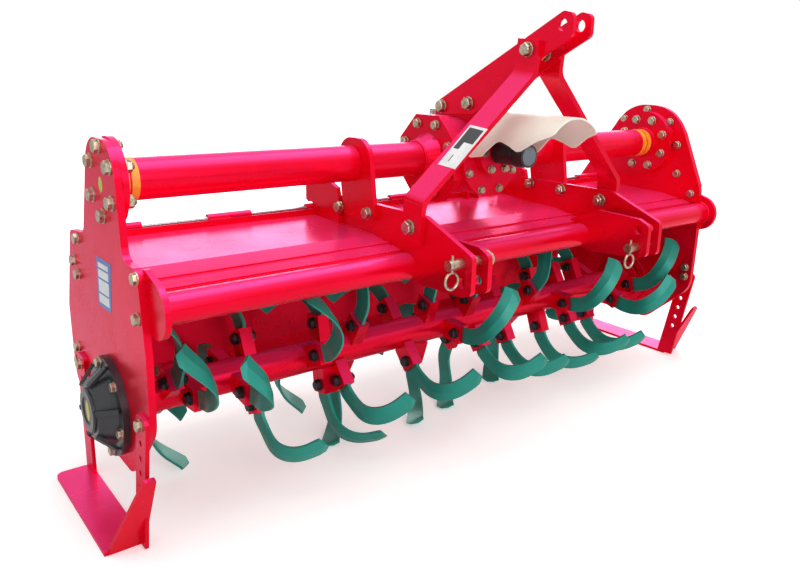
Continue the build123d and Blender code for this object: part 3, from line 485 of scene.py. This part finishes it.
steel = ground_steel()
cap_dark, cap_pale = (0.010, 0.010, 0.011), (0.022, 0.022, 0.024)
black_plastic = moulded("black_cap_plastic", cap_dark, cap_pale, 0.38, 500.0, 0.0004)
end_plastic = moulded("grey_end_plastic", (0.10, 0.12, 0.15), (0.15, 0.17, 0.20), 0.5, 400.0, 0.0004)
dress("pto_shaft", steel)
dress("pto_cap", black_plastic, 0.002)
cap_end = -278
cap_detail = bmesh.new()
for y in (-262, -254, -246):
    band(cap_detail, facing(at(0, y, pto_rise), (0, 1, 0)), 0.0265, 0.0285, 0.003)
finish("cap_grip_rings", cap_detail, black_plastic, "input_shaft")
cap_disc = bmesh.new()
disc_profile = [(0.022, -0.001), (0.022, 0.0006), (0.021, 0.0012)]
lathe(cap_disc, facing(at(0, cap_end, pto_rise), (0, -1, 0)), disc_profile, 40)
finish("cap_end_face", cap_disc, end_plastic, "input_shaft")


# Guard: a cream plastic sheet, drape-moulded into a saddle over the input shaft.
# Its sides sweep down and flare, and its foot sits on the gearbox's front flange.
cream_plastic = moulded("cream_guard_plastic", (0.74, 0.72, 0.62), (0.80, 0.78, 0.68), 0.42, 350.0, 0.0003)
dress("pto_shield", cream_plastic, 0.001)


# Mast plates: two cut plates either side of the gearbox lug, with the top link's hole at their tips.
# Two long bolts run through plates, braces and lug, with their nuts on the far side.
dress("mast_plates", red_paint, plate_edge)
mast_out = 34
mast_bolts = bmesh.new()
for y, rise in ((-2, 591), (-100, 603)):
    bolt(mast_bolts, at(-mast_out, y, rise), (-1, 0, 0), m16, turns.random())
    nut(mast_bolts, at(mast_out, y, rise), (1, 0, 0), m16, turns.random())
finish("mast_bolts", mast_bolts, zinc, "frame")


# Braces: flat bar bent twice in a press, bolted to the mast at the top and the hitch plate at the foot.
# The left one carries a small white sticker with two dark blocks, pressed flat on its face.
bar = 12
mast_inner, hitch_inner, hitch_outer = 24, 311, 335
brace_ends = (
    (-1, mast_inner, mast_out + bar, -295, 729),
    (1, mast_inner, mast_out + bar, -286, 722),
    (-1, hitch_inner, hitch_outer, -256, 355),
    (1, hitch_inner, hitch_outer, -256, 355),
)
brace_bolts = bmesh.new()
for side, inner, outer, y, rise in brace_ends:
    bolt(brace_bolts, at(side * outer, y, rise), (side, 0, 0), m16, turns.random())
    nut(brace_bolts, at(side * inner, y, rise), (-side, 0, 0), m16, turns.random())
for node in ("brace_left", "brace_right"):
    dress(node, red_paint, 0.0015)
finish("brace_bolts", brace_bolts, zinc, "frame")
sticker_corners = [at(-174, -259, 566), at(-174, -313, 561), at(-262, -311, 481), at(-262, -257, 485)]
sticker_out = (-0.6745, -0.0643, 0.7355)
sticker = bmesh.new()
panel(sticker, sticker_corners, sticker_out, 0.0012)
finish("brace_sticker", sticker, white_vinyl, "frame")
black_vinyl = vinyl("black_vinyl", (0.03, 0.03, 0.03))
sticker_blocks = bmesh.new()
panel(sticker_blocks, within(sticker_corners, 0.10, 0.90, 0.06, 0.58), sticker_out, 0.0015)
panel(sticker_blocks, within(sticker_corners, 0.36, 0.66, 0.72, 0.88), sticker_out, 0.0015)
finish("brace_sticker_blocks", sticker_blocks, black_vinyl, "frame")


# Lower hitch: pairs of cut plates welded under the front tube, tied to the cross tube by saddle brackets.
# Each pair has an upper and a lower hole for the pin, and zinc-plated bolts through the brackets.
for node in ("hitch_plates_outer", "hitch_plates_inner", "saddle_brackets", "rear_stays"):
    dress(node, red_paint, plate_edge)
bracket_holes = ((-1, 14, 356), (-1, -102, 360), (1, -7, 367), (1, -123, 365))
bracket_bolts = bmesh.new()
for side, y, rise in bracket_holes:
    bolt(bracket_bolts, at(side * hitch_outer, y, rise), (side, 0, 0), m14, turns.random())
    nut(bracket_bolts, at(side * hitch_inner, y, rise), (-side, 0, 0), m14, turns.random())
finish("bracket_bolts", bracket_bolts, zinc, "frame")
for node in ("hitch_pin_left", "hitch_pin_right", "linchpin_left", "linchpin_right"):
    dress(node, zinc)


# Hood: one sheet folded along its length, welded along the front tube and hinged at the back.
# A doubling strip and a rolled line run along its front edge, beside the front tube.
dress("hood", red_paint)
hood_left, hood_right, strip_thickness = -884, 826, 0.003
hood_up = (0, -0.19, 0.98)
hood_strips = (((-212, 291.6), (-182, 297.4)), ((-168, 300.0), (-160, 301.6)))
hood_trim = bmesh.new()
for low, high in hood_strips:
    strip = [at(hood_left, *low), at(hood_right, *low), at(hood_right, *high), at(hood_left, *high)]
    panel(hood_trim, strip, hood_up, strip_thickness)
finish("hood_lip", hood_trim, red_paint, "frame")
dress("hinge_rod", steel)
dress("rod_ears", red_paint, 0.0008)
dress("levelling_board", red_paint)


# Adjusting rods: plated rods with a nut above the swivel block and a coil spring below it.
# The coil is wound from 4 mm wire round the rod and slides with the swivel.
def coil(mesh, place, radius, wire, length, turns_count):
    """A coil spring along the placement's +Z, with its end turns wound close."""
    per_turn, across = 22, 7
    steps = turns_count * per_turn
    hoops = []
    for step in range(steps + 1):
        share = step / steps
        angle = 2 * math.pi * turns_count * share
        ease = 0.5 - 0.5 * math.cos(math.pi * share)
        height = length * (0.35 * ease + 0.65 * share)
        centre = Vector((radius * math.cos(angle), radius * math.sin(angle), height))
        outward = Vector((math.cos(angle), math.sin(angle), 0.0))
        points = []
        for index in range(across):
            tilt = 2 * math.pi * index / across
            offset = outward * (wire * math.cos(tilt)) + Vector((0, 0, wire * math.sin(tilt)))
            points.append(mesh.verts.new(place @ (centre + offset)))
        hoops.append(points)
    skin(mesh, hoops)


rod_x, rod_foot, rod_top = 185, (318, 182), (128, 410)
block_profile = [(0.0118, 0.0), (0.013, 0.0012), (0.013, 0.0288), (0.0118, 0.030)]
stub_profile = [(0.007, 0.0), (0.007, 0.0055), (0.006, 0.0065)]
for side, sign in (("left", -1), ("right", 1)):
    dress(f"adjusting_rod_{side}", zinc)
    head = at(sign * rod_x, *rod_top)
    along = at(sign * rod_x, *rod_foot) - head
    block = bmesh.new()
    lathe(block, facing(head - Vector((0.015, 0, 0)), (1, 0, 0)), block_profile, 32)
    for end in (-1, 1):
        lathe(block, facing(head + Vector((end * 0.0149, 0, 0)), (end, 0, 0)), stub_profile, 24)
    down = facing(head + along.normalized() * 0.0065, along)
    band(block, down, 0.0072, 0.0125, 0.012, 32)
    coil(block, down @ Matrix.Translation((0, 0, 0.014)), 0.0118, 0.0021, 0.1015, 11)
    swivel = finish(f"swivel_and_spring_{side}", block, steel, f"swivel_{side}", 40.0)
    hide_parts(f"rod_swivel_{side}")


# Skids: bent plate with flat straps welded on, bolted to the plates through rows of holes.
# The straps hang from their top holes, so that the machine stands clear of its blades.
for node in ("skid_left", "skid_right"):
    dress(node, red_paint, 0.001)
strap_face = 908
skid_bolts = bmesh.new()
for side in (-1, 1):
    for y, rise in ((-186.76, 32), (200, 22)):
        bolt(skid_bolts, at(side * strap_face, y, rise), (side, 0, 0), m12, turns.random())
finish("skid_bolts", skid_bolts, zinc, "frame")


# Bearing housing: black painted casting bolted over the left end of the rotor.
# The gear case on the right is pressed sheet with a bolted cover, red like the frame.
def black_iron():
    material, tree, shader, where = start_material("black_casting")
    tone = noise(tree, where, 12.0)
    stops = [(0.3, (0.012, 0.013, 0.016)), (0.7, (0.030, 0.032, 0.038))]
    tree.links.new(ramp(tree, tone, stops), shader.inputs["Base Color"])
    grain = noise(tree, where, 240.0, 3.0, 0.6)
    tree.links.new(spread(tree, grain, 0.24, 0.42), shader.inputs["Roughness"])
    bumped(tree, shader, grain, 0.3, 0.001)
    return material


black_casting = black_iron()
dress("bearing_housing_left", black_casting, 0.0015)
dress("side_gear_case", red_paint, 0.001)
dress("side_gear_cover", red_paint, 0.001)
housing_flange, housing_face, housing_circle = -914, -948, 92
housing_bolts = bmesh.new()
for index in range(6):
    angle = math.radians(15 + 60 * index)
    y, rise = housing_circle * math.cos(angle), housing_circle * math.sin(angle)
    bolt(housing_bolts, at(housing_flange, y, rise), (-1, 0, 0), m11, turns.random())
finish("housing_bolts", housing_bolts, zinc, "frame")
housing_cap = bmesh.new()
cap_profile = [(0.047, -0.001), (0.047, 0.003), (0.044, 0.006), (0.030, 0.006), (0.028, 0.0035)]
lathe(housing_cap, facing(at(housing_face, 0, 0), (-1, 0, 0)), cap_profile, 56)
for index in range(6):
    angle = math.radians(45 + 60 * index)
    direction = Vector((0, math.cos(angle), math.sin(angle)))
    side_step = Vector((0, -math.sin(angle), math.cos(angle))) * 0.005
    inner_end = at(housing_face, 0, 0) + direction * 0.056
    outer_end = at(housing_flange, 0, 0) + direction * 0.094
    corners = [inner_end - side_step, outer_end - side_step, outer_end + side_step, inner_end + side_step]
    panel(housing_cap, corners, Vector((-1, 0, 0)) + direction, 0.007)
finish("housing_cap", housing_cap, black_casting, "frame")
yellow_vinyl = vinyl("yellow_vinyl", (0.62, 0.50, 0.05))
housing_oval = bmesh.new()
oval(housing_oval, facing(at(housing_face - 3.5, 0, 0), (-1, 0, 0)), 0.013, 0.022, 0.0006)
finish("housing_oval", housing_oval, yellow_vinyl, "frame")


# Rotor: thick tube with stamped blade sockets welded round it, two opposite each other at each place.
# Each blade is hot-forged spring steel in teal-green paint, held in its socket by one dark bolt.
# The pale teal blended into upward faces is a painted highlight.
deep_teal, bright_teal, painted_teal_highlight = (0.010, 0.225, 0.175), (0.018, 0.310, 0.240), (0.06, 0.42, 0.33)
teal_paint = sprayed("teal_green", deep_teal, bright_teal, painted_teal_highlight, 0.4, 0.36, 0.1, (0.6, 1.0, 0.9))
dress("rotor_tube", red_paint, 0.0008)
for node in ("blades_left_hand", "blades_right_hand"):
    dress(node, teal_paint, 0.0008)
dark_bolts = moulded("dark_bolt_steel", (0.020, 0.021, 0.026), (0.045, 0.046, 0.055), 0.35, 300.0, 0.0004)
dark_bolts.node_tree.nodes["Principled BSDF"].inputs["Metallic"].default_value = 0.7
# Each pair: its share of the bladed stretch, and the first blade's angle from the top towards the front.
blade_pairs = (
    (0.000, 53), (0.029, 85), (0.105, 97), (0.134, -25), (0.229, 67), (0.260, -9), (0.279, 140),
    (0.312, 29), (0.417, 138), (0.467, 18), (0.510, 92), (0.558, 27), (0.581, 142), (0.653, 150),
    (0.712, 41), (0.757, -21), (0.796, 88), (0.835, 150), (0.892, -28), (0.954, 110), (1.000, 82),
)
first_pair_x, bladed_length = -798, 1538
bolt_height, half_socket = 78, 15
blade_bolts = bmesh.new()
for share, first_angle in blade_pairs:
    for degrees in (first_angle, first_angle + 180):
        angle = math.radians(degrees)
        x = first_pair_x + share * bladed_length
        y, rise = -bolt_height * math.sin(angle), bolt_height * math.cos(angle)
        bolt(blade_bolts, at(x - half_socket, y, rise), (-1, 0, 0), m14, turns.random())
        nut(blade_bolts, at(x + half_socket, y, rise), (1, 0, 0), m14, turns.random())
finish("blade_bolts", blade_bolts, dark_bolts, "rotor")


# Studio: a wide white floor under a white world, with soft lamps above, in front and low behind.
# The floor keeps the machine's own soft shadow, and also has a painted glow to the camera that is weaker
# near the machine, so the floor reads darker there as painted shade.
floor_mesh = bmesh.new()
reach = 14.0
floor_corners = ((-reach, -reach), (reach, -reach), (reach, reach), (-reach, reach))
floor_mesh.faces.new([floor_mesh.verts.new((x, y, 0.0)) for x, y in floor_corners])
floor_data = bpy.data.meshes.new("floor")
floor_mesh.to_mesh(floor_data)
floor_mesh.free()
floor = bpy.data.objects.new("floor", floor_data)
bpy.context.scene.collection.objects.link(floor)
floor_paint, floor_tree, floor_shader, floor_where = start_material("studio_floor")
floor_shader.inputs["Base Color"].default_value = (0.93, 0.93, 0.93, 1.0)
floor_shader.inputs["Roughness"].default_value = 0.9
floor_shader.inputs["Specular IOR Level"].default_value = 0.0
floor_shader.inputs["Emission Color"].default_value = (1.0, 1.0, 1.0, 1.0)
# Painted glow: camera rays see the floor emit, less within a few metres of the machine, standing in for
# shade round it.
floor_seen = floor_tree.nodes.new("ShaderNodeLightPath")
floor_painted_glow = floor_tree.nodes.new("ShaderNodeMath")
floor_painted_glow.operation = "MULTIPLY"
floor_reach = floor_tree.nodes.new("ShaderNodeVectorMath")
floor_reach.operation = "LENGTH"
floor_tree.links.new(floor_where, floor_reach.inputs[0])
floor_fade = floor_tree.nodes.new("ShaderNodeMapRange")
floor_fade.inputs["From Min"].default_value = 1.2
floor_fade.inputs["From Max"].default_value = 3.5
floor_fade.inputs["To Min"].default_value = 0.34
floor_fade.inputs["To Max"].default_value = 1.0
floor_tree.links.new(floor_reach.outputs["Value"], floor_fade.inputs["Value"])
floor_tree.links.new(floor_fade.outputs["Result"], floor_painted_glow.inputs[1])
floor_tree.links.new(floor_seen.outputs["Is Camera Ray"], floor_painted_glow.inputs[0])
floor_tree.links.new(floor_painted_glow.outputs["Value"], floor_shader.inputs["Emission Strength"])
floor_data.materials.append(floor_paint)

world = bpy.data.worlds.new("studio")
world.use_nodes = True
bpy.context.scene.world = world
backdrop = world.node_tree.nodes["Background"]
backdrop.inputs["Color"].default_value = (1.0, 1.0, 1.0, 1.0)
seen = world.node_tree.nodes.new("ShaderNodeLightPath")
mirrored = world.node_tree.nodes.new("ShaderNodeMath")
mirrored.operation = "MAXIMUM"
passed = world.node_tree.nodes.new("ShaderNodeMath")
passed.operation = "MAXIMUM"
world.node_tree.links.new(seen.outputs["Is Camera Ray"], mirrored.inputs[0])
world.node_tree.links.new(seen.outputs["Is Glossy Ray"], mirrored.inputs[1])
world.node_tree.links.new(mirrored.outputs["Value"], passed.inputs[0])
world.node_tree.links.new(seen.outputs["Is Transmission Ray"], passed.inputs[1])
level = world.node_tree.nodes.new("ShaderNodeMapRange")
level.inputs["To Min"].default_value = 0.55
level.inputs["To Max"].default_value = 1.0
world.node_tree.links.new(passed.outputs["Value"], level.inputs["Value"])
world.node_tree.links.new(level.outputs["Result"], backdrop.inputs["Strength"])


def soft_lamp(name, place, target, size, power):
    light = bpy.data.lights.new(name, "AREA")
    light.shape = "RECTANGLE"
    light.size, light.size_y = size
    light.energy = power
    lamp = bpy.data.objects.new(name, light)
    lamp.matrix_world = facing(Vector(place), Vector(place) - Vector(target))
    bpy.context.scene.collection.objects.link(lamp)


soft_lamp("overhead", (0.2, -0.4, 3.2), (0.0, 0.0, 0.5), (4.0, 2.0), 60)
soft_lamp("behind", (2.6, 3.3, 1.45), (0.0, 0.0, 0.5), (5.4, 2.1), 95)
soft_lamp("front", (-0.6, -3.8, 2.0), (0.0, 0.0, 0.5), (2.6, 2.0), 60)

camera_data = bpy.data.cameras.new("photo_view")
camera_data.lens = 33.6
camera_data.sensor_width = 36.0
camera_data.shift_y = -0.031
camera = bpy.data.objects.new("photo_view", camera_data)
azimuth, elevation, roll = math.radians(-38.17), math.radians(14.53), math.radians(1.31)
level_view = Matrix.Rotation(azimuth, 4, "Z") @ Matrix.Rotation(math.pi / 2 - elevation, 4, "X")
looking = level_view @ Matrix.Rotation(roll, 4, "Z")
camera.matrix_world = Matrix.Translation(at(-1313.9, -1470.3, 688.6)) @ looking
bpy.context.scene.collection.objects.link(camera)
bpy.context.scene.camera = camera
bpy.context.scene.view_settings.view_transform = "Standard"
